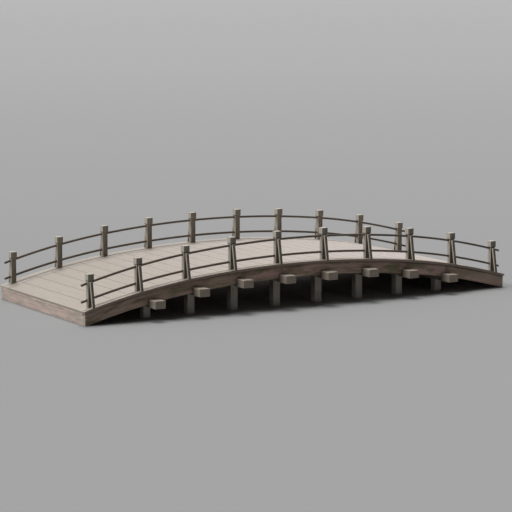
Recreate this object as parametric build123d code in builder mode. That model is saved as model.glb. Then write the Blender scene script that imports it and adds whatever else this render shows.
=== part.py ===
# Low-arched timber moon bridge. Millimetres, Z up, X along the bridge, the ground at zero.
import math
import os

from build123d import *

# Driving dimensions: length and arch of the deck
deck_half = 7798
deck_end_height = 438
deck_rise = 978
crown_radius_share = 0.5673
haunch_radius_share = 0.3797
plank_count = 29
crown_plank_count = 15

# Half width of the bridge over its arch beams, and what is set out from there
beam_outer = 3070
deck_overhang = 25
crossbeam_overhang = 474
pile_setback = 551
post_setback = 270
joist_row_share = 0.48

# Deck layers, measured square to the arch
edge_board_thick = 22
plank_thick = 55
plank_gap = 10
edge_board_lip = 8

# Arch beams and joists
end_overhang = 45
beam_thick = 140
beam_depth = 376
joist_thick = 120
butt_gap = 3

# End boards
end_board_thick = 70

# Bents: crossbeams on pairs of piles
bent_count = 8
toe_bay = 2327
crossbeam_wide = 362
crossbeam_high = 245
crossbeam_drop = 315
pile_side = 245

# Railing
posts_each_half = 5
end_post_setback = 334
post_centre_bay = 1720
post_height = 1016
post_side = 165
head_side = 205
head_high = 190
head_taper = 32
head_chamfer = 10
rail_side = 65
upper_rail_height = 752
lower_rail_height = 234
rail_stub = 288
brace_wide = 72
brace_deep = 112
brace_foot_setback = 14

# Clearance between pieces that follow the arch, and the overrun of every cut
seat = 0.3
overrun = 60

# Where the edge boards meet, in shares of the plank pitch from the middle of the bridge
edge_joint_shares = (-14.5, -10.5, -7.5, -2.5, 2.5, 7.5, 10.5, 14.5)
# Planks in each bay of decking
deck_bay_counts = (6, 6, 5, 6, 6)
# How much lower than the arch each crossbeam is let in, in shares of its own height
crossbeam_sink_shares = (0.08, -0.05, -0.12, 0.07, 0.07, -0.12, -0.05, 0.08)

# Values that follow from the ones above: the arch
crown_height = deck_end_height + deck_rise
crown_radius = crown_radius_share * deck_half**2 / deck_rise
haunch_radius = haunch_radius_share * deck_half**2 / deck_rise
plank_pitch = 2 * deck_half / plank_count
crown_half = crown_plank_count * plank_pitch / 2
joint_angle = math.asin(crown_half / crown_radius)
crown_centre = crown_height - crown_radius
haunch_x = (crown_radius - haunch_radius) * math.sin(joint_angle)
haunch_centre = crown_centre + (crown_radius - haunch_radius) * math.cos(joint_angle)

# Values that follow from the ones above: levels below the deck line, and places across the bridge
plank_top = edge_board_thick
plank_bottom = plank_top + plank_thick
beam_top = plank_bottom + seat
beam_bottom = beam_top + beam_depth
beam_half = deck_half - end_overhang
beam_inner = beam_outer - beam_thick
deck_reach = beam_outer + deck_overhang
crossbeam_reach = beam_outer + crossbeam_overhang
pile_row = beam_outer - pile_setback
post_row = beam_outer - post_setback
post_face = post_row + post_side / 2
edge_board_inner = post_row - post_side / 2 - edge_board_lip
joist_row = joist_row_share * beam_outer

# Values that follow from the ones above: stations along the bridge
bent_pitch = 2 * (beam_half - toe_bay) / (bent_count - 1)
bent_stations = [(i - (bent_count - 1) / 2) * bent_pitch for i in range(bent_count)]
end_post = deck_half - end_post_setback
post_bay = (end_post - post_centre_bay / 2) / (posts_each_half - 1)
half_stations = [post_centre_bay / 2 + i * post_bay for i in range(posts_each_half)]
post_stations = [-x for x in reversed(half_stations)] + half_stations
rail_half = end_post + rail_stub


def crown_end(drop):
    """Where the crown arc of the line a drop below the deck line turns into the haunch arc."""
    return (crown_radius - drop) * math.sin(joint_angle)


def arch_height(x, drop):
    """Height at x of the line that runs a drop below the deck line."""
    run = abs(x)
    if run <= crown_end(drop):
        return crown_centre + math.sqrt((crown_radius - drop) ** 2 - run**2)
    return haunch_centre + math.sqrt((haunch_radius - drop) ** 2 - (run - haunch_x) ** 2)


def crossbeam_top(x, sink_share):
    """Height of the top of the crossbeam at x."""
    return arch_height(x, 0) - crossbeam_drop - sink_share * crossbeam_high


def square_to_arch(x, drop):
    """X of the point that lies a drop square below the deck line's point at x."""
    run = abs(x)
    if run <= crown_half:
        return x * (crown_radius - drop) / crown_radius
    inward = haunch_x + (run - haunch_x) * (haunch_radius - drop) / haunch_radius
    return math.copysign(inward, x)


def draw_arch(start, end, drop, lift=0):
    """Arcs of the line a drop below the deck line, raised by a lift, between two values of x."""
    turns = [x for x in (-crown_end(drop), crown_end(drop)) if start < x < end]
    stations = [start] + turns + [end]
    for a, b in zip(stations, stations[1:]):
        points = [(x, arch_height(x, drop) + lift) for x in (a, (a + b) / 2, b)]
        ThreePointArc(*points)


def draw_upright(x, top, bottom, top_lift=0, bottom_lift=0):
    """Upright end of a band of the arch."""
    Line((x, arch_height(x, top) + top_lift), (x, arch_height(x, bottom) + bottom_lift))


def draw_square_end(x, top, bottom):
    """End of a band of the arch, cut square to the deck line."""
    upper = square_to_arch(x, top)
    lower = square_to_arch(x, bottom)
    Line((upper, arch_height(upper, top)), (lower, arch_height(lower, bottom)))


def lengths_between(joints, gap):
    """Starts and ends of the pieces between joints, with a gap at every joint but the two ends."""
    pieces = []
    for i, (a, b) in enumerate(zip(joints, joints[1:])):
        start = a if i == 0 else a + gap / 2
        end = b if i == len(joints) - 2 else b - gap / 2
        pieces.append((start, end))
    return pieces


def beam_profile(half):
    """Lengths of an arch beam that meet over the crossbeams, notched there and trimmed at the ground."""
    with BuildSketch() as profile:
        for start, end in lengths_between([-half] + bent_stations + [half], butt_gap):
            with BuildLine():
                draw_arch(start, end, beam_top)
                draw_arch(start, end, beam_bottom)
                draw_upright(start, beam_top, beam_bottom)
                draw_upright(end, beam_top, beam_bottom)
            make_face()
        for x, sink_share in zip(bent_stations, crossbeam_sink_shares):
            with Locations((x, crossbeam_top(x, sink_share))):
                Rectangle(
                    crossbeam_wide, crossbeam_high, align=(Align.CENTER, Align.MAX), mode=Mode.SUBTRACT
                )
        Rectangle(
            2 * half + overrun, crossbeam_high, align=(Align.CENTER, Align.MAX), mode=Mode.SUBTRACT
        )
    return profile.sketch


def board_profile(joints, top, bottom, gap):
    """Boards of one layer of the deck, cut square to the arch."""
    with BuildSketch() as profile:
        for a, b in zip(joints, joints[1:]):
            start = a if math.isclose(a, -deck_half) else a + gap / 2
            end = b if math.isclose(b, deck_half) else b - gap / 2
            with BuildLine():
                draw_arch(square_to_arch(start, top), square_to_arch(end, top), top)
                draw_arch(square_to_arch(start, bottom), square_to_arch(end, bottom), bottom)
                draw_square_end(start, top, bottom)
                draw_square_end(end, top, bottom)
            make_face()
    return profile.sketch


def rail_profile(pieces, height, half_depth):
    """Bars that follow the arch at a height above the deck line."""
    with BuildSketch() as profile:
        for start, end in pieces:
            with BuildLine():
                draw_arch(start, end, 0, height + half_depth)
                draw_arch(start, end, 0, height - half_depth)
                draw_upright(start, 0, 0, height + half_depth, height - half_depth)
                draw_upright(end, 0, 0, height + half_depth, height - half_depth)
            make_face()
    return profile.sketch


os.makedirs("parts", exist_ok=True)

# Arch beams: the two deep side beams, notched over every crossbeam
side_profile = beam_profile(beam_half)
with BuildPart() as near_arch_beam:
    with BuildSketch(Plane.XZ.offset(beam_inner)):
        add(side_profile)
    extrude(amount=beam_thick)
near_arch_beam.part.label = "near_arch_beam"
export_step(near_arch_beam.part, "parts/near_arch_beam.step")

with BuildPart() as far_arch_beam:
    mirror(near_arch_beam.part, about=Plane.XZ)
far_arch_beam.part.label = "far_arch_beam"
export_step(far_arch_beam.part, "parts/far_arch_beam.step")

# Joists: the same arch between the end boards, under the planks
end_inner = beam_half - end_board_thick
joist_profile = beam_profile(end_inner)
for name, row in (("near_joist", joist_row), ("middle_joist", 0), ("far_joist", -joist_row)):
    with BuildPart() as joist:
        with BuildSketch(Plane.XZ.offset(row)):
            add(joist_profile)
        extrude(amount=joist_thick / 2, both=True)
    joist.part.label = name
    export_step(joist.part, f"parts/{name}.step")

# End boards: from beam to beam, ground to deck, bevelled to the slope of the planks
with BuildPart() as right_end_board:
    with BuildSketch(Plane.XZ):
        with BuildLine():
            Polyline(
                (beam_half, 0),
                (end_inner, 0),
                (end_inner, arch_height(end_inner, beam_top)),
                (beam_half, arch_height(beam_half, beam_top)),
                close=True,
            )
        make_face()
    extrude(amount=beam_inner, both=True)
right_end_board.part.label = "right_end_board"
export_step(right_end_board.part, "parts/right_end_board.step")

with BuildPart() as left_end_board:
    mirror(right_end_board.part, about=Plane.YZ)
left_end_board.part.label = "left_end_board"
export_step(left_end_board.part, "parts/left_end_board.step")

# Crossbeams: level timbers that run out past both arch beams
for i, x in enumerate(bent_stations):
    with BuildPart() as crossbeam:
        with Locations((x, 0, crossbeam_top(x, crossbeam_sink_shares[i]))):
            Box(
                crossbeam_wide,
                2 * crossbeam_reach,
                crossbeam_high,
                align=(Align.CENTER, Align.CENTER, Align.MAX),
            )
    crossbeam.part.label = f"crossbeam_{i + 1}"
    export_step(crossbeam.part, f"parts/crossbeam_{i + 1}.step")

# Piles: square legs from the ground to the underside of each crossbeam
with BuildPart() as near_piles:
    for x, sink_share in zip(bent_stations, crossbeam_sink_shares):
        with Locations((x, -pile_row, 0)):
            Box(
                pile_side,
                pile_side,
                crossbeam_top(x, sink_share) - crossbeam_high,
                align=(Align.CENTER, Align.CENTER, Align.MIN),
            )
near_piles.part.label = "near_piles"
export_step(near_piles.part, "parts/near_piles.step")

with BuildPart() as far_piles:
    mirror(near_piles.part, about=Plane.XZ)
far_piles.part.label = "far_piles"
export_step(far_piles.part, "parts/far_piles.step")

# Deck planks: laid crosswise on the beams and joists
for n, count in enumerate(deck_bay_counts):
    first = sum(deck_bay_counts[:n])
    seams = [i * plank_pitch - deck_half for i in range(first, first + count + 1)]
    with BuildPart() as deck_planks:
        with BuildSketch(Plane.XZ):
            add(board_profile(seams, plank_top, plank_bottom, plank_gap))
        extrude(amount=deck_reach, both=True)
    deck_planks.part.label = f"deck_planks_{n + 1}"
    export_step(deck_planks.part, f"parts/deck_planks_{n + 1}.step")

# Edge boards: laid lengthwise on the plank ends, under the posts and braces
edge_joints = [share * plank_pitch for share in edge_joint_shares]
with BuildPart() as near_edge_board:
    with BuildSketch(Plane.XZ.offset(edge_board_inner)):
        add(board_profile(edge_joints, 0, plank_top - seat, butt_gap))
    extrude(amount=deck_reach - edge_board_inner)
near_edge_board.part.label = "near_edge_board"
export_step(near_edge_board.part, "parts/near_edge_board.step")

with BuildPart() as far_edge_board:
    mirror(near_edge_board.part, about=Plane.XZ)
far_edge_board.part.label = "far_edge_board"
export_step(far_edge_board.part, "parts/far_edge_board.step")

# Everything under the railing's feet, used to scribe them to the arch
with BuildSketch() as under_deck:
    with BuildLine():
        draw_arch(-deck_half, deck_half, 0, seat)
        Line((-deck_half, arch_height(deck_half, 0) + seat), (-deck_half, 0))
        Line((-deck_half, 0), (deck_half, 0))
        Line((deck_half, 0), (deck_half, arch_height(deck_half, 0) + seat))
    make_face()

# One post: a square shaft that widens to a head, with its top edges taken off
shaft_high = post_height - head_high - head_taper
with BuildPart() as post_pattern:
    with BuildSketch(Plane.XY.offset(-overrun)):
        Rectangle(post_side, post_side)
    extrude(amount=shaft_high + overrun)
    with BuildSketch(Plane.XY.offset(shaft_high)):
        Rectangle(post_side, post_side)
    with BuildSketch(Plane.XY.offset(shaft_high + head_taper)):
        Rectangle(head_side, head_side)
    loft()
    with BuildSketch(Plane.XY.offset(shaft_high + head_taper)):
        Rectangle(head_side, head_side)
    extrude(amount=head_high)
    chamfer(post_pattern.faces().sort_by(Axis.Z)[-1].edges(), head_chamfer)

# Posts: scribed to the arch at the foot and mortised for the two rails
with BuildPart() as near_posts:
    with Locations(*[(x, -post_row, arch_height(x, 0)) for x in post_stations]):
        add(post_pattern.part)
    with BuildSketch(Plane.XZ.offset(post_row)):
        add(under_deck.sketch)
    extrude(amount=head_side, both=True, mode=Mode.SUBTRACT)
    for height in (upper_rail_height, lower_rail_height):
        with BuildSketch(Plane.XZ.offset(post_row)):
            add(rail_profile([(-rail_half, rail_half)], height, rail_side / 2 + seat))
        extrude(amount=rail_side / 2 + seat, both=True, mode=Mode.SUBTRACT)
near_posts.part.label = "near_posts"
export_step(near_posts.part, "parts/near_posts.step")

with BuildPart() as far_posts:
    mirror(near_posts.part, about=Plane.XZ)
far_posts.part.label = "far_posts"
export_step(far_posts.part, "parts/far_posts.step")

# One brace: a raking strut from under the head to the edge of the deck, run on below its foot
brace_spread = deck_reach - brace_foot_setback - post_face
brace_slope = math.atan2(brace_spread, shaft_high)
brace_level = brace_deep / math.cos(brace_slope)
brace_toe = brace_spread * (shaft_high + overrun) / shaft_high
with BuildPart() as brace_pattern:
    with BuildSketch(Plane.YZ):
        with BuildLine():
            Polyline(
                (-post_face, shaft_high),
                (-post_face - brace_toe, -overrun),
                (-post_face - brace_toe + brace_level, -overrun),
                (-post_face, shaft_high - brace_level / math.tan(brace_slope)),
                close=True,
            )
        make_face()
    extrude(amount=brace_wide / 2, both=True)

# Braces: one outside every post, scribed to the arch at the foot
with BuildPart() as near_braces:
    with Locations(*[(x, 0, arch_height(x, 0)) for x in post_stations]):
        add(brace_pattern.part)
    with BuildSketch(Plane.XZ.offset(post_row)):
        add(under_deck.sketch)
    extrude(amount=deck_reach - post_row + overrun, mode=Mode.SUBTRACT)
near_braces.part.label = "near_braces"
export_step(near_braces.part, "parts/near_braces.step")

with BuildPart() as far_braces:
    mirror(near_braces.part, about=Plane.XZ)
far_braces.part.label = "far_braces"
export_step(far_braces.part, "parts/far_braces.step")

# Rails: square bars along the arch, in lengths that meet inside the posts
rail_lengths = lengths_between([-rail_half] + post_stations[1:-1] + [rail_half], butt_gap)
for place, height in (("top", upper_rail_height), ("lower", lower_rail_height)):
    with BuildPart() as near_rail:
        with BuildSketch(Plane.XZ.offset(post_row)):
            add(rail_profile(rail_lengths, height, rail_side / 2))
        extrude(amount=rail_side / 2, both=True)
    near_rail.part.label = f"near_{place}_rail"
    export_step(near_rail.part, f"parts/near_{place}_rail.step")

    with BuildPart() as far_rail:
        mirror(near_rail.part, about=Plane.XZ)
    far_rail.part.label = f"far_{place}_rail"
    export_step(far_rail.part, f"parts/far_{place}_rail.step")
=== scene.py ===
# %% [markdown]
# # A low-arched timber moon bridge
# The bridge is carpentry: wide planks on arched beams, crossbeams on square piles, and a braced
# railing along each side. The solids come from the CAD frame and stay where they are. Blender adds
# what wood has and plain solids lack: separate boards, eased edges, grain, wear and spike heads.

# %% Load the frame
import math
import random

import bmesh
import bpy
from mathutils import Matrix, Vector


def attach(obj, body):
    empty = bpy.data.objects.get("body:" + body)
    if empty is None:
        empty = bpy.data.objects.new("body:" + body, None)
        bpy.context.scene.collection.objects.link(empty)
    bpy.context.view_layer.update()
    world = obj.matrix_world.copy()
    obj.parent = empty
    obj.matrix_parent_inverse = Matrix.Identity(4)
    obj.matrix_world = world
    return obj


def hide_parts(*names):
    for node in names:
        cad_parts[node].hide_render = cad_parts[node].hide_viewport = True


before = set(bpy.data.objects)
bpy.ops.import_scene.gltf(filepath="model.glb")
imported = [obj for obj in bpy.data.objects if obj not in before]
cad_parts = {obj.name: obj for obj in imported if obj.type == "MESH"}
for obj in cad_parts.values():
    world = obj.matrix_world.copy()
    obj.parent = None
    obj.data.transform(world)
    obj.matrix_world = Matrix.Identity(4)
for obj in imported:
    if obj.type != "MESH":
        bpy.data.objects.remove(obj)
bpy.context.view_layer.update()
scene = bpy.context.scene
print("pieces in the frame:", len(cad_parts))

# %% [markdown]
# ## The arch
# Everything follows one line, the top of the deck. It is a three-centred arch: a flat crown arc and
# two tighter haunch arcs that meet it without a kink. The line could be stored as points, but two
# radii say the same and give the height and the slope at any place, so a plank, a rail or a post
# foot can ask for them.

# %% The deck line
deck_half = 7.798
deck_crown = 1.416
deck_rise = 0.978
crown_share, haunch_share = 0.5673, 0.3797
plank_count, crown_planks = 29, 15
slope_step = 0.01
crown_radius = crown_share * deck_half**2 / deck_rise
haunch_radius = haunch_share * deck_half**2 / deck_rise
plank_pitch = 2 * deck_half / plank_count
joint_angle = math.asin(crown_planks / 2 * plank_pitch / crown_radius)
crown_centre = deck_crown - crown_radius
haunch_x = (crown_radius - haunch_radius) * math.sin(joint_angle)
haunch_centre = crown_centre + (crown_radius - haunch_radius) * math.cos(joint_angle)


def deck_height(x, drop=0.0):
    """Height at x of the line that runs a drop below the deck line."""
    run = abs(x)
    if run <= (crown_radius - drop) * math.sin(joint_angle):
        return crown_centre + math.sqrt((crown_radius - drop) ** 2 - run**2)
    return haunch_centre + math.sqrt((haunch_radius - drop) ** 2 - (run - haunch_x) ** 2)


def deck_slope(x):
    """Rise of the deck line per metre at x."""
    return (deck_height(x + slope_step) - deck_height(x - slope_step)) / (2 * slope_step)


print("deck line: crown", round(deck_height(0), 3), "end", round(deck_height(deck_half), 3))

# %% [markdown]
# ## Weathered timber
# Old outdoor wood is grey where the sun has bleached it, brown where it stays in shade, darker on
# sawn ends and paler on rubbed edges. A photo of wood could be wrapped on the boards, but a node
# material keeps its detail at any distance. It reads four attributes that the pieces carry:
# *board*, a point's place in its own board in metres with the second number along the grain,
# *tone*, a random number for each board, *sawn*, one on end grain, and *worn*, one on eased edges.
# Light and shade are also painted into the colour in bands, paler where the lamps light more and
# darker under an overhang or between parts, so a finish can take bands that run along the bridge or
# along its own board, and painted shade or light for the flanks of an upright.

# %% Colours as they are seen
screen_toe, screen_power = 0.055, 2.4


def seen(red, green, blue):
    """A colour as a screen shows it, turned into the linear values that shaders use."""
    shares = (red / 255, green / 255, blue / 255)
    return tuple(((c + screen_toe) / (1 + screen_toe)) ** screen_power for c in shares) + (1.0,)


print("a middle grey on the screen is", round(seen(128, 128, 128)[0], 3), "of full light")

# %% [markdown]
# ### Helpers for node trees
# A material is a tree of nodes, and so is a Geometry Nodes tree. Trees can be drawn by hand in the
# editor, but in a script every node, value and link is a line of its own. A few helpers that each
# add one node and hand back its result let the trees below read like sums.

# %% Nodes and sums
def put(tree, kind, values=None, **settings):
    """Adds a node, fills its sockets with values or links and sets its options."""
    node = tree.nodes.new(kind)
    for option, setting in settings.items():
        setattr(node, option, setting)
    for socket, value in (values or {}).items():
        if isinstance(value, bpy.types.NodeSocket):
            tree.links.new(value, node.inputs[socket])
        else:
            node.inputs[socket].default_value = value
    return node


def sum_of(tree, a, b, way="ADD"):
    """One sum of two numbers, linked or plain."""
    return put(tree, "ShaderNodeMath", {0: a, 1: b}, operation=way).outputs[0]


def product(tree, *numbers):
    """Several numbers multiplied together."""
    total = numbers[0]
    for number in numbers[1:]:
        total = sum_of(tree, total, number, "MULTIPLY")
    return total


def size_of(tree, number):
    """A number without its sign."""
    return put(tree, "ShaderNodeMath", {0: number}, operation="ABSOLUTE").outputs[0]


def ranged(tree, number, reach, result=(0.0, 1.0)):
    """Stretches a reach of numbers to a result, and holds it at both ends."""
    values = {0: number, 1: reach[0], 2: reach[1], 3: result[0], 4: result[1]}
    return put(tree, "ShaderNodeMapRange", values).outputs[0]


def vectors(tree, way, a, b):
    """One sum of two vectors."""
    return put(tree, "ShaderNodeVectorMath", {0: a, 1: b}, operation=way).outputs[0]


def scaled(tree, vector, size):
    """A vector or a colour made larger or smaller."""
    return put(tree, "ShaderNodeVectorMath", {0: vector, 3: size}, operation="SCALE").outputs[0]


def parts_of(tree, vector):
    """The three numbers of a vector."""
    return put(tree, "ShaderNodeSeparateXYZ", {0: vector}).outputs


sum_helpers = (put, sum_of, product, size_of, ranged, vectors, scaled, parts_of)
print("node helpers:", ", ".join(helper.__name__ for helper in sum_helpers))


# %% Colours and noise in a material
def attribute(tree, name, kind="Fac"):
    """A number or vector that the mesh carries."""
    return put(tree, "ShaderNodeAttribute", attribute_name=name).outputs[kind]


def noise(tree, place, scale, detail, rough=0.5, twist=0.0):
    """A cloudy pattern between nought and one."""
    values = {"Vector": place, "Scale": scale, "Detail": detail, "Roughness": rough}
    return put(tree, "ShaderNodeTexNoise", {**values, "Distortion": twist}).outputs["Fac"]


def between(tree, share, low, high):
    """Mixes two colours by a share."""
    node = put(tree, "ShaderNodeMix", {0: share, 6: low, 7: high}, data_type="RGBA")
    return node.outputs[2]


def steps(tree, share, *stops):
    """A colour ramp from pairs of place and colour."""
    node = put(tree, "ShaderNodeValToRGB", {0: share})
    ramp = node.color_ramp
    while len(ramp.elements) < len(stops):
        ramp.elements.new(0.5)
    for element, (place, colour) in zip(ramp.elements, stops):
        element.position = place
        element.color = colour
    return node.outputs[0]


colour_helpers = (attribute, noise, between, steps)
print("colour helpers:", ", ".join(helper.__name__ for helper in colour_helpers))

# %% [markdown]
# ### Bands, grain and painted shade
# A band is a soft mask of painted light or shade along one measure: along or across the bridge,
# along the board, or down from the deck line. Grain is noise that is drawn out along the board, so
# fibres come out long and thin. Painted shade on flanks and undersides needs no mask of its own,
# since the way a face looks says enough.

# %% Bands of painted light and shade
band_ways = ("run", "back", "outward", "up", "deep")


def band(where, rise, share, tone, fall=None, only=None):
    """A band: the way it lies, where it sets in, its strength and tone, and what limits it."""
    return where, rise, share, tone, fall, only


def bands_on(tree, colour, bands):
    """Mixes painted light and shade into a colour, in bands along the board or the bridge."""
    own = parts_of(tree, attribute(tree, "board", "Vector"))
    bridge = parts_of(tree, put(tree, "ShaderNodeTexCoord").outputs["Object"])
    outward = size_of(tree, bridge[1])
    way = dict(zip(band_ways, (bridge[0], bridge[1], outward, own[1], own[2])))
    for where, rise, share, tone, fall, only in bands:
        mask = ranged(tree, way[where], rise, (0.0, share))
        if fall:
            mask = product(tree, mask, ranged(tree, way[where], fall, (1.0, 0.0)))
        if only:
            other, reach = only
            mask = product(tree, mask, ranged(tree, way[other], reach))
        colour = between(tree, mask, colour, tone)
    return colour


print("bands can lie along:", ", ".join(band_ways))

# %% Grain, blots and cracks of one board
board_jump = (37.0, 91.0, 53.0)
fibre_stretch, streak_stretch = (1.0, 0.055, 1.0), (1.0, 0.3, 1.0)
crack_reach = (0.67, 0.70)


def grain_of(tree, tone):
    """Fibre, rings, patches, specks and cracks of a board, cut from its own part of a tree."""
    jump = scaled(tree, board_jump, tone)
    own = vectors(tree, "ADD", attribute(tree, "board", "Vector"), jump)
    along = vectors(tree, "MULTIPLY", own, fibre_stretch)
    streak = vectors(tree, "MULTIPLY", own, streak_stretch)
    fibre = noise(tree, along, scale=85.0, detail=5.0, rough=0.65)
    rings = noise(tree, along, scale=13.0, detail=3.0, twist=1.2)
    patch = noise(tree, streak, scale=4.5, detail=4.0, rough=0.6)
    speck = noise(tree, own, scale=34.0, detail=4.0, rough=0.7)
    crack = ranged(tree, noise(tree, along, scale=31.0, detail=2.0), crack_reach)
    return fibre, rings, patch, speck, crack


print("along the grain, fibre is drawn out", round(1 / fibre_stretch[1]), "times")

# %% Painted light and shade on the flanks of an upright
# painted shade: faces that look down, such as the undersides of the post heads, are painted dark
flank_reach, under_reach = (0.5, 0.8), (-0.3, -0.45)
painted_under_shade_share, painted_under_shade_tone = 0.9, seen(74, 64, 54)


def painted_flank_shading(tree, colour, share, tone):
    """Painted shade or light on faces that look across the bridge, and painted shade on those that
    look down.
    """
    facing = parts_of(tree, put(tree, "ShaderNodeNewGeometry").outputs["True Normal"])
    flank = ranged(tree, size_of(tree, facing[1]), flank_reach, (0.0, share))
    colour = between(tree, flank, colour, tone)
    under = ranged(tree, facing[2], under_reach, (0.0, painted_under_shade_share))
    return between(tree, under, colour, painted_under_shade_tone)


print("shade grows on faces that look across the bridge, from", *flank_reach)

# %% A timber finish
blot_reach, grain_reach, rub_reach = (0.46, 0.62), (0.75, 1.25), (0.36, 0.62)
speck_reach, speck_light = (0.25, 0.75), (0.95, 1.05)
dull_reach, dull_spread = (0.3, 0.7), 0.08
sawn_share, crack_tone = 0.85, seen(70, 60, 52)
fibre_height, crack_height, speck_height, bump_depth = 0.6, -0.8, 0.25, 0.004


def weathered_timber(name, tones, stain, sawn_tone, worn_tone, stain_share, grain_depth,
                     crack_share, worn_share, relief, rough, shine, light_and_shade_first=(), light_and_shade_last=(), shade=None):
    """Tones go to boards by chance, stain in patches, painted light and shade in bands and on
    flanks.
    """
    finish = bpy.data.materials.new(name)
    finish.use_nodes = True
    tree = finish.node_tree
    shader = tree.nodes["Principled BSDF"]
    tone = attribute(tree, "tone")
    fibre, rings, patch, speck, crack = grain_of(tree, tone)
    # colour: the board's tone, painted light and shade, stain and sawn ends, then grain, cracks,
    # more painted light and shade and rubbed edges
    colour = steps(tree, tone, *tones)
    if light_and_shade_first:
        colour = bands_on(tree, colour, light_and_shade_first)
    if shade:
        colour = painted_flank_shading(tree, colour, *shade)
    blot = product(tree, ranged(tree, patch, blot_reach), stain_share)
    colour = between(tree, blot, colour, stain)
    colour = between(tree, product(tree, attribute(tree, "sawn"), sawn_share), colour, sawn_tone)
    depth = (1 - grain_depth, 1 + grain_depth)
    colour = scaled(tree, colour, ranged(tree, sum_of(tree, fibre, rings), grain_reach, depth))
    colour = between(tree, product(tree, crack, crack_share), colour, crack_tone)
    if light_and_shade_last:
        colour = bands_on(tree, colour, light_and_shade_last)
    rub = product(tree, attribute(tree, "worn"), ranged(tree, speck, rub_reach), worn_share)
    colour = between(tree, rub, colour, worn_tone)
    colour = scaled(tree, colour, ranged(tree, speck, speck_reach, speck_light))
    tree.links.new(colour, shader.inputs["Base Color"])
    dull = ranged(tree, fibre, dull_reach, (rough - dull_spread, rough + dull_spread))
    tree.links.new(dull, shader.inputs["Roughness"])
    shader.inputs["Specular IOR Level"].default_value = shine
    # relief: fibres stand up, cracks go in
    height = sum_of(tree, product(tree, fibre, fibre_height), product(tree, crack, crack_height))
    height = sum_of(tree, height, product(tree, speck, speck_height))
    values = {"Height": height, "Strength": relief, "Distance": bump_depth}
    tree.links.new(put(tree, "ShaderNodeBump", values).outputs[0], shader.inputs["Normal"])
    print("finish", name, "has", len(tree.nodes), "nodes")
    return finish


print("relief: fibres", fibre_height, "up, cracks", -crack_height, "down, times", bump_depth, "m")

# %% [markdown]
# ### The finishes
# One recipe serves all the timbers, with other colours and amounts. The first row of colours is the
# range of tones that boards take by chance. Then come the stain, the sawn ends and the worn edges.
# The first bands of painted light and shade go on before grain and cracks, the last on top of them.

# %% Finishes of the deck
deck_sawn, deck_worn = seen(133, 113, 100), seen(96, 86, 76)
deck_wear = dict(stain_share=0.4, grain_depth=0.06, crack_share=0.12, worn_share=0.8,
                 relief=0.25, rough=0.6, shine=0.5)
deck_finish = weathered_timber(
    "bleached_deck_plank",
    ((0.0, seen(175, 168, 155)), (0.35, seen(184, 173, 165)),
     (0.7, seen(193, 177, 171)), (1.0, seen(181, 170, 159))),
    seen(177, 170, 157), deck_sawn, deck_worn, **deck_wear,
    # painted light: paler towards the right end, and paler just inside the far edge board where a
    # rail's shadow falls
    light_and_shade_first=(band("run", (-5.0, 4.5), 0.85, seen(210, 198, 192)),
            band("back", (2.46, 2.62), 0.75, seen(234, 224, 214))))
edge_finish = weathered_timber(
    "bleached_edge_board",
    ((0.0, seen(174, 165, 152)), (1.0, seen(184, 173, 162))),
    seen(172, 164, 149), deck_sawn, deck_worn, **deck_wear,
    # painted light: paler towards the right end, and paler on the near edge board where the rails'
    # shadows fall
    light_and_shade_first=(band("run", (-5.0, 4.5), 0.8, seen(204, 193, 184)),
            band("back", (-2.70, -2.82), 0.5, seen(222, 208, 194))))
end_finish = weathered_timber(
    "pinkish_end_board",
    ((0.0, seen(217, 196, 185)), (1.0, seen(225, 206, 196))),
    seen(190, 179, 163), seen(196, 184, 170), seen(226, 213, 202),
    stain_share=0.8, grain_depth=0.22, crack_share=0.25, worn_share=0.6,
    relief=0.4, rough=0.75, shine=0.4)

# %% Finishes of the heavy timbers
# painted shade: this dark brown is laid where shadow falls under the deck's edge, under the deck
# and between parts
painted_shade_brown = seen(38, 32, 28)
shade_edge = (0.07, 0.078)
beam_finish = weathered_timber(
    "reddish_arch_beam",
    ((0.0, seen(194, 160, 150)), (0.25, seen(178, 161, 143)), (0.5, seen(198, 166, 156)),
     (0.75, seen(172, 156, 135)), (1.0, seen(192, 171, 157))),
    seen(138, 128, 104), seen(206, 194, 182), seen(190, 172, 158),
    stain_share=1.0, grain_depth=0.26, crack_share=0.3, worn_share=0.5,
    relief=0.45, rough=0.85, shine=0.25,
    # paler towards the right end; painted shadow: a dark line under the deck's edge with a softer
    # band below, doubled on the right half; painted shade: the far beam darker than the near one
    light_and_shade_last=(band("run", (3.5, 7.5), 0.55, seen(210, 188, 172)),
          band("deep", shade_edge, 0.55, painted_shade_brown, fall=(0.085, 0.15)),
          band("deep", shade_edge, 0.55, painted_shade_brown, fall=(0.085, 0.13), only=("run", (0.5, 5.0))),
          band("deep", shade_edge, 0.22, painted_shade_brown, fall=(0.09, 0.33)),
          band("back", (3.045, 3.066), 0.55, seen(104, 90, 80))))
crossbeam_finish = weathered_timber(
    "grey_crossbeam",
    ((0.0, seen(159, 148, 135)), (1.0, seen(169, 157, 144))),
    seen(150, 142, 125), seen(160, 149, 136), seen(202, 192, 180),
    stain_share=0.5, grain_depth=0.16, crack_share=0.4, worn_share=0.6,
    relief=0.4, rough=0.85, shine=0.3,
    # painted shade: darker under the deck and next to the beams, fading out towards the ends
    light_and_shade_last=(band("outward", (2.8, 3.07), 0.8, painted_shade_brown, fall=(3.08, 3.42)),))
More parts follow.
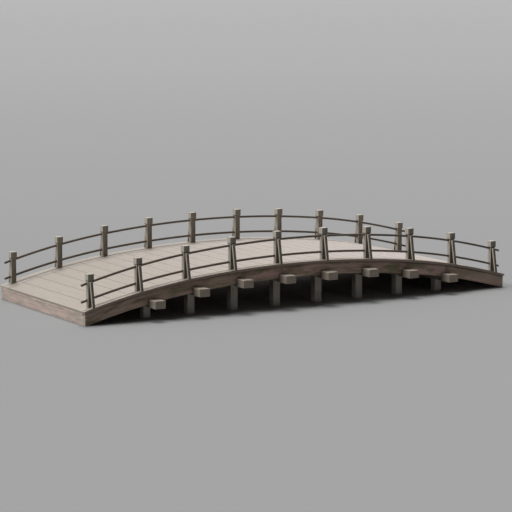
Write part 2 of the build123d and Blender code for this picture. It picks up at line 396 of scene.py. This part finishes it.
pile_finish = weathered_timber(
    "greenish_pile",
    ((0.0, seen(122, 117, 105)), (1.0, seen(130, 124, 112))),
    seen(130, 126, 108), seen(150, 146, 134), seen(200, 196, 184),
    stain_share=0.4, grain_depth=0.16, crack_share=0.3, worn_share=0.5,
    relief=0.45, rough=0.88, shine=0.25,
    # painted shade and light on faces that look along the bridge: darker towards the left end,
    # paler towards the right end
    light_and_shade_first=(band("run", (-0.8, -5.4), 0.6, painted_shade_brown),
            band("run", (0.5, 5.4), 0.4, seen(170, 163, 150))),
    # painted light: paler towards the foot
    light_and_shade_last=(band("up", (0.65, 0.0), 0.7, seen(246, 242, 234)),),
    # painted light: the flanks are lighter than the faces that look along the bridge
    shade=(1.0, seen(170, 163, 151)))

# %% Finishes of the railing
upright_sawn = seen(206, 198, 186)
upright_wear = dict(grain_depth=0.14, crack_share=0.3, worn_share=0.4,
                    relief=0.4, rough=0.8, shine=0.3)
post_finish = weathered_timber(
    "grey_brown_post",
    ((0.0, seen(176, 168, 155)), (0.5, seen(184, 177, 165)), (1.0, seen(190, 183, 172))),
    seen(168, 160, 144), upright_sawn, seen(190, 181, 167), stain_share=0.5, **upright_wear,
    # painted light: the heads are paler
    light_and_shade_first=(band("up", (0.80, 0.84), 0.6, seen(220, 213, 202)),),
    # painted shade on the outward faces below the heads, where the braces stand; a little more
    # painted light on the heads
    light_and_shade_last=(band("outward", (2.872, 2.88), 0.4, painted_shade_brown, only=("up", (0.80, 0.78))),
          band("up", (0.81, 0.84), 0.1, seen(212, 207, 198))),
    # painted shade on the flanks and under the heads
    shade=(0.9, seen(113, 107, 98)))
brace_finish = weathered_timber(
    "grey_brown_brace",
    ((0.0, seen(200, 192, 178)), (1.0, seen(211, 204, 191))),
    seen(184, 175, 155), upright_sawn, seen(204, 195, 180), stain_share=0.4, **upright_wear,
    # painted shade on the flanks and on faces that look down
    shade=(0.95, seen(118, 109, 97)))
rail_finish = weathered_timber(
    "dark_stained_rail",
    ((0.0, seen(114, 103, 93)), (1.0, seen(124, 113, 102))),
    seen(104, 94, 83), seen(108, 97, 86), seen(140, 127, 115),
    stain_share=0.5, grain_depth=0.14, crack_share=0.3, worn_share=0.5,
    relief=0.35, rough=0.75, shine=0.3)

# %% [markdown]
# ## Iron spikes
# Decks like this are held by forged spikes whose heads lie just proud of the wood. The iron is dark
# brown with rust, and too small to need more than a noise for colour and roughness.

# %% Spike iron
spike_iron = bpy.data.materials.new("rusty_spike_iron")
spike_iron.use_nodes = True
iron_tree = spike_iron.node_tree
iron_shader = iron_tree.nodes["Principled BSDF"]
iron_place = put(iron_tree, "ShaderNodeTexCoord").outputs["Object"]
rust = noise(iron_tree, iron_place, scale=220.0, detail=4.0)
rust_colour = steps(iron_tree, rust, (0.35, seen(58, 50, 45)), (0.65, seen(98, 70, 52)))
iron_tree.links.new(rust_colour, iron_shader.inputs["Base Color"])
rust_dull = ranged(iron_tree, rust, (0.0, 1.0), (0.5, 0.85))
iron_tree.links.new(rust_dull, iron_shader.inputs["Roughness"])
iron_shader.inputs["Metallic"].default_value = 0.6
print("finish", spike_iron.name, "has", len(iron_tree.nodes), "nodes")

# %% [markdown]
# ## Boards and their attributes
# A board is a box with its long edges eased by a plane. The helper below takes any closed shape,
# eases its sharp edges and writes the attributes that the finish reads. It works on each loose
# timber of a mesh, so one mesh can hold ten posts or nine lengths of a beam.

# %% Stand a piece in the scene
def stand(name, mesh, finish):
    """Puts a finished mesh in the scene with its finish."""
    mesh.materials.clear()
    mesh.materials.append(finish)
    piece = bpy.data.objects.new(name, mesh)
    scene.collection.objects.link(piece)
    return piece


def settle(piece, slot, *nodes):
    """The piece rides on the bridge and stands for the frame's own solids. The slot is not used."""
    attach(piece, "root")
    if nodes:
        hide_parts(*nodes)
    print(piece.name, len(piece.data.polygons), "faces")


# %% Ease edges and mark the grain
chance = random.Random(7)
across = {"x": (1, 0, 2), "y": (0, 1, 2), "z": (0, 2, 1)}
sharp_angle, end_grain_share = 0.5, 0.7
ease_rounds, ease_profile = 2, 0.6


def timbers_of(bm):
    """The separate timbers of a mesh, as lists of faces, from left to right and near to far."""
    left = set(bm.faces)
    found = []
    while left:
        group, front = [], [left.pop()]
        while front:
            face = front.pop()
            group.append(face)
            for edge in face.edges:
                for other in edge.link_faces:
                    if other in left:
                        left.remove(other)
                        front.append(other)
        found.append(group)

    def middle(faces):
        """X and Y to the millimetre, so that joists side by side keep one order in every run."""
        spots = [face.calc_center_median() for face in faces]
        return [round(sum(spot[i] for spot in spots) / len(spots), 3) for i in (0, 1)]

    return sorted(found, key=middle)


def worked(name, bm, grain, ease, finish, arched=False):
    """A piece from a closed shape: edges eased, and board, tone, sawn and worn stored on it."""
    board = bm.verts.layers.float_vector.new("board")
    tone = bm.verts.layers.float.new("tone")
    sawn = bm.faces.layers.float.new("sawn")
    worn = bm.faces.layers.float.new("worn")
    bm.normal_update()
    sharp = [e for e in bm.edges if len(e.link_faces) == 2 and e.calc_face_angle() > sharp_angle]
    eased = bmesh.ops.bevel(bm, geom=sharp, offset=ease, offset_type="OFFSET", segments=ease_rounds,
                            profile=ease_profile, affect="EDGES", clamp_overlap=True)["faces"]
    bm.normal_update()
    axis = across[grain][1]
    for face in eased:
        face[worn] = 1.0
    for timber in timbers_of(bm):
        own = chance.random()
        for face in timber:
            if abs(face.normal[axis]) > end_grain_share:
                face[sawn] = 1.0
            for vert in face.verts:
                spot = [vert.co[i] for i in across[grain]]
                if arched:
                    spot[2] = deck_height(vert.co.x) - vert.co.z
                vert[board] = Vector(spot)
                vert[tone] = own
    mesh = bpy.data.meshes.new(name)
    bm.to_mesh(mesh)
    bm.free()
    return stand(name, mesh, finish)


print("edges sharper than", round(math.degrees(sharp_angle)), "degrees are eased")

# %% [markdown]
# ## Heavy timbers: beams, joists, crossbeams and piles
# The arch beams are notched over the crossbeams and cut to the ground at their toes, so their shape
# is already right in the frame. Rather than draw it again, a copy of the frame's mesh is merged,
# its flat faces are joined up again, and its edges are eased as an adze would leave them.

# %% Dress the frame's timbers
merge_reach, flat_angle = 0.00005, 0.002
beam_ease, pile_ease, joist_ease, crossbeam_ease = 0.008, 0.012, 0.003, 0.012


def dressed(name, nodes, grain, ease, finish, slot, arched=False):
    """One piece from copies of the frame's solids, with eased edges and grain."""
    bm = bmesh.new()
    for node in nodes:
        bm.from_mesh(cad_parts[node].data)
    bmesh.ops.remove_doubles(bm, verts=bm.verts, dist=merge_reach)
    bmesh.ops.dissolve_limit(bm, angle_limit=flat_angle, verts=bm.verts, edges=bm.edges)
    settle(worked(name, bm, grain, ease, finish, arched), slot, *nodes)


joists = [f"{place}_joist" for place in ("near", "middle", "far")]
bent_count = 8
crossbeams = [f"crossbeam_{i + 1}" for i in range(bent_count)]
for side in ("near", "far"):
    dressed(f"{side}_beam_lengths", [f"{side}_arch_beam"], "x", beam_ease, beam_finish,
            "beam_timber", arched=True)
    dressed(f"{side}_pile_row", [f"{side}_piles"], "z", pile_ease, pile_finish, "pile_timber")
dressed("joist_lengths", joists, "x", joist_ease, beam_finish, "beam_timber")
dressed("crossbeam_row", crossbeams, "y", crossbeam_ease, crossbeam_finish, "crossbeam_timber")

# %% [markdown]
# ## End boards
# Each end of the bridge is closed by two boards set on edge between the beams, a narrow one under
# the deck and a wide one down to the ground. The upper one steps a little forward like a nosing, so
# a thin line of shade parts the two. Painting the line would be quicker, but it would not turn with
# the light.

# %% Two boards at each end
beam_half = 7.753
beam_drop = 0.0773
end_board_thick, end_reach, end_ease = 0.070, 2.930, 0.005
end_seam, seam_half, nosing = 0.315, 0.002, 0.028


def drawn_out(bm, corners, way):
    """A closed shape: a flat outline drawn out along a vector."""
    outline = bm.faces.new([bm.verts.new(corner) for corner in corners])
    moved = bmesh.ops.extrude_face_region(bm, geom=[outline])["geom"]
    verts = [v for v in moved if isinstance(v, bmesh.types.BMVert)]
    bmesh.ops.translate(bm, verts=verts, vec=way)


for side, way in (("left", -1), ("right", 1)):
    inner = way * (beam_half - end_board_thick)
    lower, upper = way * beam_half, way * (beam_half + nosing)
    low_top, high_foot = end_seam - seam_half, end_seam + seam_half
    wide = [(lower, 0.0), (inner, 0.0), (inner, low_top), (lower, low_top)]
    narrow = [(upper, high_foot), (inner, high_foot),
              (inner, deck_height(inner, beam_drop)), (upper, deck_height(upper, beam_drop))]
    bm = bmesh.new()
    for corners in (wide, narrow):
        drawn_out(bm, [(x, -end_reach, z) for x, z in corners], (0, 2 * end_reach, 0))
    bmesh.ops.recalc_face_normals(bm, faces=bm.faces)
    boards = worked(f"{side}_end_boards", bm, "y", end_ease, end_finish)
    settle(boards, "end_timber", f"{side}_end_board")

# %% [markdown]
# ## Deck planks
# The deck is twenty-nine wide planks laid crosswise. Each is the same board, turned to the slope of
# the arch where it lies, so one pattern and a row of points is enough. Geometry Nodes puts the
# pattern on the points, gives every plank its own tone and lets its long edges wander by a few
# millimetres, as sawn edges do. An Array with a Curve modifier would bend the boards instead.

# %% One plank as a pattern
plank_thick, plank_top, plank_gap = 0.074, 0.003, 0.010
plank_ease, plank_cuts = 0.005, 24
deck_reach = 3.095
bm = bmesh.new()
bmesh.ops.create_cube(bm, size=1.0)
bmesh.ops.scale(bm, vec=(plank_pitch - plank_gap, 2 * deck_reach, plank_thick), verts=bm.verts)
long_edges = [e for e in bm.edges if abs(e.verts[0].co.y - e.verts[1].co.y) > deck_reach]
bmesh.ops.subdivide_edges(bm, edges=long_edges, cuts=plank_cuts, use_grid_fill=True)
plank_pattern = worked("plank_pattern", bm, "y", plank_ease, deck_finish)
print("plank pattern:", len(plank_pattern.data.vertices), "points")

# %% [markdown]
# ### Geometry Nodes from a script
# A tree is set on an object as a modifier, and its inputs are set before it runs. Its result hangs
# on that modifier, so it is copied off as a plain mesh and the maker is thrown away. Instances are
# made real at the end of every tree, because an exporter or a mesh check sees only real faces.

# %% Marks, and meshes grown from them
def marks(name, places, **numbers):
    """A mesh of loose points with one number of each kind for every point."""
    mesh = bpy.data.meshes.new(name)
    mesh.from_pydata(places, [], [])
    for kind, row in numbers.items():
        mesh.attributes.new(kind, "FLOAT", "POINT").data.foreach_set("value", row)
    return stand(name, mesh, deck_finish)


def grow(maker, tree, name, finish, inputs):
    """Runs a tree on an object with its inputs set, and keeps the result as a plain mesh."""
    modifier = maker.modifiers.new("make", "NODES")
    modifier.node_group = tree
    for item in tree.interface.items_tree:
        if item.in_out == "INPUT" and item.name in inputs:
            modifier[item.identifier] = inputs[item.name]
    bpy.context.view_layer.update()
    graph = bpy.context.evaluated_depsgraph_get()
    mesh = bpy.data.meshes.new_from_object(maker.evaluated_get(graph),
                                           preserve_all_data_layers=True, depsgraph=graph)
    mesh.name = name
    bpy.data.objects.remove(maker)
    return stand(name, mesh, finish)


print("meshes so far:", len(bpy.data.meshes))


# %% Parts of a tree
def new_tree(name, **sockets):
    """An empty Geometry Nodes tree with named inputs."""
    tree = bpy.data.node_groups.new(name, "GeometryNodeTree")
    socket = tree.interface.new_socket
    socket(name="Geometry", in_out="INPUT", socket_type="NodeSocketGeometry")
    for title, kind in sockets.items():
        socket(name=title.replace("_", " "), in_out="INPUT", socket_type=f"NodeSocket{kind}")
    socket(name="Geometry", in_out="OUTPUT", socket_type="NodeSocketGeometry")
    return tree, tree.nodes.new("NodeGroupInput").outputs


def vector_of(tree, **parts):
    """A vector from the numbers for its X, Y and Z."""
    return put(tree, "ShaderNodeCombineXYZ", parts).outputs[0]


def named(tree, name, kind="FLOAT"):
    """A stored attribute, read back in a tree."""
    values = {"Name": name}
    return put(tree, "GeometryNodeInputNamedAttribute", values, data_type=kind).outputs["Attribute"]


def kept(tree, geometry, name, value, kind="FLOAT", domain="POINT"):
    """Stores a value under a name on every point, face or curve."""
    values = {"Geometry": geometry, "Name": name, "Value": value}
    node = put(tree, "GeometryNodeStoreNamedAttribute", values, data_type=kind, domain=domain)
    return node.outputs[0]


def drawn_lot(tree, given, least=0.0, most=1.0):
    """A random number for each element, from the tree's own seed."""
    values = {2: least, 3: most, "Seed": given["Seed"]}
    return put(tree, "FunctionNodeRandomValue", values, data_type="FLOAT").outputs[1]


def realized(tree, geometry):
    """Instances made into real geometry."""
    return put(tree, "GeometryNodeRealizeInstances", {"Geometry": geometry}).outputs[0]


def shifted(tree, geometry, offset):
    """Geometry with every point moved by an offset."""
    return put(tree, "GeometryNodeSetPosition", {"Geometry": geometry, "Offset": offset}).outputs[0]


def finish_tree(tree, geometry, material):
    """Realize Instances, Set Material and the output, which every tree here ends in."""
    values = {"Geometry": realized(tree, geometry), "Material": material}
    dressed_up = put(tree, "GeometryNodeSetMaterial", values).outputs[0]
    put(tree, "NodeGroupOutput", {"Geometry": dressed_up})
    print("tree", tree.name, "has", len(tree.nodes), "nodes")


tree_helpers = (new_tree, vector_of, named, kept, drawn_lot, realized, shifted, finish_tree)
print("tree helpers:", ", ".join(helper.__name__ for helper in tree_helpers))


# %% A pattern on every mark
def dots_of(tree, given):
    """The marks as points."""
    return put(tree, "GeometryNodeMeshToPoints", {"Mesh": given["Geometry"]}).outputs[0]


def set_out(tree, given, dots, **values):
    """The pattern on every point, with its rotation and scale."""
    shape = put(tree, "GeometryNodeObjectInfo", {"Object": given["Pattern"]}).outputs["Geometry"]
    values.update(Points=dots, Instance=shape)
    return put(tree, "GeometryNodeInstanceOnPoints", values).outputs[0]


print("patterns to set out so far:", plank_pattern.name)

# %% The tree of the planks
ripple_scale, ripple_detail = 2.6, 2.0
ripple_middle, ripple_share = (0.5, 0.5, 0.5), (1.0, 0.4, 0.35)
plank_tree, given = new_tree("planks_along_arch", Pattern="Object", Wander="Float", Seed="Int",
                             Finish="Material")
dots = kept(plank_tree, dots_of(plank_tree, given), "tone", drawn_lot(plank_tree, given))
lean = vector_of(plank_tree, Y=named(plank_tree, "lean"))
size = vector_of(plank_tree, X=named(plank_tree, "stretch"), Y=1.0, Z=1.0)
laid = realized(plank_tree, set_out(plank_tree, given, dots, Rotation=lean, Scale=size))
where = put(plank_tree, "GeometryNodeInputPosition").outputs[0]
ripple = put(plank_tree, "ShaderNodeTexNoise",
             {"Vector": where, "Scale": ripple_scale, "Detail": ripple_detail}).outputs["Color"]
ripple = vectors(plank_tree, "SUBTRACT", ripple, ripple_middle)
ripple = vectors(plank_tree, "MULTIPLY", ripple, ripple_share)
ripple = scaled(plank_tree, ripple, given["Wander"])
finish_tree(plank_tree, shifted(plank_tree, laid, ripple), given["Finish"])

# %% Planks along the arch
plank_xs = [(i + 0.5) * plank_pitch - deck_half for i in range(plank_count)]
slopes = [deck_slope(x) for x in plank_xs]
middle_drop = plank_top + plank_thick / 2
places, stretches = [], []
for x, slope in zip(plank_xs, slopes):
    tilt = math.atan(slope)
    along, height = x + middle_drop * math.sin(tilt), deck_height(x) - middle_drop * math.cos(tilt)
    places.append((along, 0.0, height))
    stretches.append((plank_pitch / math.cos(tilt) - plank_gap) / (plank_pitch - plank_gap))
leans = [-math.atan(slope) for slope in slopes]
plank_marks = marks("plank_marks", places, lean=leans, stretch=stretches)
planks = grow(plank_marks, plank_tree, "deck_plank_row", deck_finish,
              {"Pattern": plank_pattern, "Wander": 0.008, "Seed": 11, "Finish": deck_finish})
bpy.data.objects.remove(plank_pattern)
deck_bays = 5
settle(planks, "deck_timber", *[f"deck_planks_{i + 1}" for i in range(deck_bays)])

# %% [markdown]
# ## Edge boards and rails
# The boards under the posts and the rails through them all follow the arch, so they are a profile
# swept along a curve. The sweep is a tree too: it rounds the corners of a rectangle, runs it along
# every length of the curve and stores how far along each point lies, so the grain follows the bend.

# %% A bar along the arch
corner_points, raw_share = 2, 0.5
bar_tree, given = new_tree("bar_along_arch", Across="Float", Deep="Float", Ease="Float",
                           Raw_Side="Float", Seed="Int", Finish="Material")
path = kept(bar_tree, given["Geometry"], "tone", drawn_lot(bar_tree, given), domain="CURVE")
path = kept(bar_tree, path, "run", put(bar_tree, "GeometryNodeSplineParameter").outputs["Length"])
outline = put(bar_tree, "GeometryNodeCurvePrimitiveQuadrilateral",
              {"Width": given["Across"], "Height": given["Deep"]}).outputs[0]
corner = {"Curve": outline, "Radius": given["Ease"], "Count": corner_points}
outline = put(bar_tree, "GeometryNodeFilletCurve", corner, mode="POLY").outputs[0]
spot = parts_of(bar_tree, put(bar_tree, "GeometryNodeInputPosition").outputs[0])
outline = kept(bar_tree, outline, "side", spot[0])
outline = kept(bar_tree, outline, "depth", spot[1])
swept = put(bar_tree, "GeometryNodeCurveToMesh",
            {"Curve": path, "Profile Curve": outline, "Fill Caps": True}).outputs[0]
spot = vector_of(bar_tree, X=named(bar_tree, "side"), Y=named(bar_tree, "run"),
                 Z=named(bar_tree, "depth"))
swept = kept(bar_tree, swept, "board", spot, "FLOAT_VECTOR")
facing = parts_of(bar_tree, put(bar_tree, "GeometryNodeInputNormal").outputs[0])[1]
raw = sum_of(bar_tree, product(bar_tree, facing, given["Raw Side"]), raw_share, "GREATER_THAN")
swept = kept(bar_tree, swept, "sawn", raw, domain="FACE")
finish_tree(bar_tree, swept, given["Finish"])

# %% Curves for the bars
path_step = 0.3


def arch_path(name, lengths, y, lift=0.0, drop=0.0):
    """A curve object with one spline for every length of board or rail along the arch."""
    curve = bpy.data.curves.new(name, "CURVE")
    curve.dimensions = "3D"
    for start, end in lengths:
        count = max(2, round((end - start) / path_step) + 1)
        spline = curve.splines.new("POLY")
        spline.points.add(count - 1)
        for i, point in enumerate(spline.points):
            x = start + (end - start) * i / (count - 1)
            point.co = (x, y, deck_height(x, drop) + lift, 1.0)
    path = bpy.data.objects.new(name, curve)
    scene.collection.objects.link(path)
    return path


print("curves have a point about every", path_step, "m")

# %% Edge boards
edge_inner, edge_thick, edge_ease = 2.7095, 0.0217, 0.004
edge_shares = (-14.5, -10.5, -7.5, -2.5, 2.5, 7.5, 10.5, 14.5)
butt_half = 0.0015
edge_joints = [share * plank_pitch for share in edge_shares]
edge_lengths = [(a + butt_half, b - butt_half) for a, b in zip(edge_joints, edge_joints[1:])]
edge_lengths[0] = (edge_joints[0], edge_lengths[0][1])
edge_lengths[-1] = (edge_lengths[-1][0], edge_joints[-1])
for side, way, seed in (("near", -1, 3), ("far", 1, 4)):
    middle = way * (edge_inner + deck_reach) / 2
    path = arch_path(f"{side}_edge_path", edge_lengths, middle, drop=edge_thick / 2)
    strip = grow(path, bar_tree, f"{side}_edge_strip", edge_finish,
                 {"Across": deck_reach - edge_inner, "Deep": edge_thick, "Ease": edge_ease,
                  "Raw Side": float(way), "Seed": seed, "Finish": edge_finish})
    settle(strip, "deck_timber", f"{side}_edge_board")

# %% Rails
post_row, first_post, post_bay, posts_each_half = 2.800, 0.860, 1.651, 5
rail_half, rail_side, rail_ease = 7.752, 0.065, 0.009
rail_rows = (("top", 0.752, 21), ("lower", 0.234, 22))
half_xs = [first_post + i * post_bay for i in range(posts_each_half)]
post_xs = sorted([-x for x in half_xs] + half_xs)
rail_stops = [-rail_half] + post_xs[1:-1] + [rail_half]
rail_lengths = list(zip(rail_stops, rail_stops[1:]))
for side, way in (("near", -1), ("far", 1)):
    for place, height, seed in rail_rows:
        path = arch_path(f"{side}_{place}_path", rail_lengths, way * post_row, lift=height)
        rail = grow(path, bar_tree, f"{side}_{place}_bar", rail_finish,
                    {"Across": rail_side, "Deep": rail_side, "Ease": rail_ease,
                     "Raw Side": 0.0, "Seed": seed + way, "Finish": rail_finish})
        settle(rail, "rail_timber", f"{side}_{place}_rail")

# %% [markdown]
# ## Posts and braces
# Ten posts a side stand upright on the sloping deck, so each foot has to be cut to the slope there,
# which a carpenter calls scribing. Each post has a raking brace on its outer side. It bears on the
# post under the head and stands clear of it lower down, so a dark wedge shows between the two. Both
# repeat, so a pattern is put on points again, and the tree lifts or lowers each foot by the slope.

# %% Patterns of a post and a brace
post_half, head_half, upright_ease = 0.0825, 0.1025, 0.005
shaft_high, head_low, post_high = 0.794, 0.826, 1.016
brace_half, brace_proud, brace_dip = 0.043, 0.070, 0.02
brace_foot, brace_heel, brace_crotch = 0.293, 0.236, 0.74


def skinned(bm, rings):
    """Closes a stack of rings of points, bottom to top, into one shape."""
    for low, high in zip(rings, rings[1:]):
        for i in range(len(low)):
            after = (i + 1) % len(low)
            bm.faces.new((low[i], low[after], high[after], high[i]))
    bm.faces.new(rings[-1])
    bm.faces.new(list(reversed(rings[0])))


square = ((-1, -1), (1, -1), (1, 1), (-1, 1))
levels = ((0.0, post_half), (shaft_high, post_half), (head_low, head_half), (post_high, head_half))
bm = bmesh.new()
skinned(bm, [[bm.verts.new((sx * half, sy * half, z)) for sx, sy in square] for z, half in levels])
post_pattern = worked("post_pattern", bm, "z", upright_ease, post_finish)

outline = ((-post_half, shaft_high), (-post_half - brace_proud, shaft_high - brace_dip),
           (-brace_foot, 0.0), (-brace_heel, 0.0), (-post_half, brace_crotch))
bm = bmesh.new()
drawn_out(bm, [(-brace_half, y, z) for y, z in outline], (2 * brace_half, 0, 0))
bmesh.ops.recalc_face_normals(bm, faces=bm.faces)
brace_pattern = worked("brace_pattern", bm, "z", upright_ease, brace_finish)
for pattern in (post_pattern, brace_pattern):
    print(pattern.name, "has", len(pattern.data.polygons), "faces")

# %% The tree of the uprights
upright_tree, given = new_tree("uprights_on_arch", Pattern="Object", Foot="Float", Seed="Int",
                               Finish="Material")
dots = kept(upright_tree, dots_of(upright_tree, given), "tone", drawn_lot(upright_tree, given))
turn = vector_of(upright_tree, Z=named(upright_tree, "turn"))
stood = realized(upright_tree, set_out(upright_tree, given, dots, Rotation=turn))
spot = parts_of(upright_tree, named(upright_tree, "board", "FLOAT_VECTOR"))
scribe = product(upright_tree, spot[0], named(upright_tree, "slope"))
low = sum_of(upright_tree, spot[1], given["Foot"], "LESS_THAN")
lift = vector_of(upright_tree, Z=product(upright_tree, scribe, low))
finish_tree(upright_tree, shifted(upright_tree, stood, lift), given["Finish"])

# %% Uprights scribed to the deck
foot_reach = 0.05
upright_kinds = (("post", post_pattern, post_finish, 31),
                 ("brace", brace_pattern, brace_finish, 41))
for side, way in (("near", -1), ("far", 1)):
    facing = 0.0 if way < 0 else math.pi
    spots = [(x, way * post_row, deck_height(x)) for x in post_xs]
    leans = [deck_slope(x) * math.cos(facing) for x in post_xs]
    for kind, pattern, finish, seed in upright_kinds:
        dots = marks(f"{side}_{kind}_marks", spots, slope=leans, turn=[facing] * len(spots))
        row = grow(dots, upright_tree, f"{side}_{kind}_row", finish,
                   {"Pattern": pattern, "Foot": foot_reach, "Seed": seed + way, "Finish": finish})
        settle(row, "post_timber", f"{side}_{kind}s")
bpy.data.objects.remove(post_pattern)
bpy.data.objects.remove(brace_pattern)

# %% [markdown]
# ## Spike heads
# Two spikes hold every plank to every joist, and two more at each side go through the edge board.
# At this size the heads are dots, but close by they give the deck its scale. They are instances of
# one low dome.

# %% One spike head as a pattern
spike_sides, spike_radius = 8, 0.011
spike_levels = ((1.0, -0.002), (0.92, 0.002), (0.5, 0.0045))
bm = bmesh.new()
turns = [2 * math.pi * i / spike_sides for i in range(spike_sides)]
rings = []
for share, z in spike_levels:
    half = share * spike_radius
    rings.append([bm.verts.new((half * math.cos(a), half * math.sin(a), z)) for a in turns])
skinned(bm, rings)
spike_mesh = bpy.data.meshes.new("spike_pattern")
bm.to_mesh(spike_mesh)
bm.free()
spike_pattern = stand("spike_pattern", spike_mesh, spike_iron)
print("spike head:", len(spike_mesh.polygons), "faces")

# %% The tree of the spikes
full_turn = 6.28
spike_tree, given = new_tree("spikes_on_deck", Pattern="Object", Seed="Int", Finish="Material")
spin = drawn_lot(spike_tree, given, least=0.0, most=full_turn)
tilt = vector_of(spike_tree, Y=named(spike_tree, "lean"), Z=spin)
driven = set_out(spike_tree, given, dots_of(spike_tree, given), Rotation=tilt)
finish_tree(spike_tree, driven, given["Finish"])

# %% Spikes on the deck
joist_row, edge_spike_row = 1.4736, 3.0
spike_step, spike_stray, spike_proud = 0.16, 0.012, 0.0005
spots, leans = [], []
for x, slope in zip(plank_xs, slopes):
    for at in (x - spike_step, x + spike_step):
        for y in (-joist_row, 0.0, joist_row):
            stray = chance.uniform(-spike_stray, spike_stray)
            spots.append((at, y + stray, deck_height(at, plank_top) + spike_proud))
        for y in (-edge_spike_row, edge_spike_row):
            stray = chance.uniform(-spike_stray, spike_stray)
            spots.append((at, y + stray, deck_height(at)))
    leans += [-math.atan(slope)] * (len(spots) - len(leans))
spikes = grow(marks("spike_marks", spots, lean=leans), spike_tree, "deck_spikes", spike_iron,
              {"Pattern": spike_pattern, "Seed": 5, "Finish": spike_iron})
bpy.data.objects.remove(spike_pattern)
settle(spikes, "deck_timber")
print("spikes driven:", len(spots))

# %% [markdown]
# ## Camera
# The photo looks at the left end and the near side from a little above, from far off with a long
# lens, so the two rows of posts stay nearly parallel.

# %% Camera
photo_pixels, focal_pixels = 512, 2401.94
view_turn, view_dip = 0.5261, 0.1405
camera = bpy.data.cameras.new("camera")
camera.sensor_width = 36.0
camera.lens = focal_pixels / photo_pixels * camera.sensor_width
camera.clip_end = 1500.0
camera_stand = bpy.data.objects.new("camera", camera)
camera_stand.location = (-39.2453, -67.5805, 12.2723)
camera_stand.rotation_euler = (math.pi / 2 - view_dip, 0.0, -view_turn)
scene.collection.objects.link(camera_stand)
scene.camera = camera_stand
print("camera lens:", round(camera.lens, 1), "mm")

# %% [markdown]
# ## Floor and light
# The floor is a plain grey sweep that grows a little paler far behind the bridge. A soft wall of
# light stands behind it, one broad lamp hangs above and a little behind, and a second broad lamp
# comes from the left. So tops are bright, the left ends are half lit and the near side lies in
# shade. One hard lamp would be simpler, but its shadows would have edges that the photo does not
# show.

# %% Floor
floor_half, paling_reach, floor_rough = 600.0, 280.0, 0.95
floor_greys = ((0.0, 164), (0.12, 168), (0.22, 171), (0.42, 178), (1.0, 184))
floor_mesh = bpy.data.meshes.new("floor")
floor_corners = [(sx * floor_half, sy * floor_half, 0) for sx, sy in square]
floor_mesh.from_pydata(floor_corners, [], [(0, 1, 2, 3)])
floor_grey = bpy.data.materials.new("floor_grey")
floor_grey.use_nodes = True
floor_tree = floor_grey.node_tree
floor_shader = floor_tree.nodes["Principled BSDF"]
spot = put(floor_tree, "ShaderNodeTexCoord").outputs["Object"]
view_way = (math.sin(view_turn), math.cos(view_turn), 0.0)
depth = put(floor_tree, "ShaderNodeVectorMath", {0: spot, 1: view_way}, operation="DOT_PRODUCT")
far = ranged(floor_tree, depth.outputs["Value"], (0.0, paling_reach))
grey = steps(floor_tree, far, *[(place, seen(level, level, level)) for place, level in floor_greys])
floor_tree.links.new(grey, floor_shader.inputs["Base Color"])
floor_shader.inputs["Roughness"].default_value = floor_rough
floor_shader.inputs["Specular IOR Level"].default_value = 0.0
floor = stand("floor", floor_mesh, floor_grey)
print("floor:", 2 * floor_half, "m across")

# %% A soft wall of light
wall_behind, wall_raised = (-0.05, 0.35), (0.05, 0.4)
wall_light, glossy_light = (0.05, 0.605), 0.55
world = bpy.data.worlds.new("soft_back_wall")
scene.world = world
world.use_nodes = True
sky = world.node_tree
background = sky.nodes["Background"]
background.inputs["Color"].default_value = (1.0, 1.0, 1.0, 1.0)
aim = parts_of(sky, put(sky, "ShaderNodeTexCoord").outputs["Generated"])
behind = ranged(sky, aim[1], wall_behind)
raised = ranged(sky, aim[2], wall_raised)
wall = ranged(sky, product(sky, behind, raised), (0.0, 1.0), wall_light)
glossy = put(sky, "ShaderNodeLightPath").outputs["Is Glossy Ray"]
strength = put(sky, "ShaderNodeMix", {0: glossy, 2: wall, 3: glossy_light}, data_type="FLOAT")
sky.links.new(strength.outputs[0], background.inputs["Strength"])
print("wall of light:", wall_light[0], "in front to", wall_light[1], "behind")

# %% Two broad lamps
lamps = (("back_lamp", (0.12, 0.33, 0.94), 0.505, 24),
         ("left_lamp", (-0.74, 0.14, 0.66), 0.245, 30))
for name, toward, share, spread in lamps:
    lamp = bpy.data.lights.new(name, "SUN")
    aim = Vector(toward).normalized()
    lamp.energy = share * math.pi / aim.z
    lamp.angle = math.radians(spread)
    lamp_stand = bpy.data.objects.new(name, lamp)
    lamp_stand.rotation_euler = aim.to_track_quat("Z", "Y").to_euler()
    scene.collection.objects.link(lamp_stand)
    print(name, "gives", share, "of the light on the floor")
scene.view_settings.view_transform = "Standard"
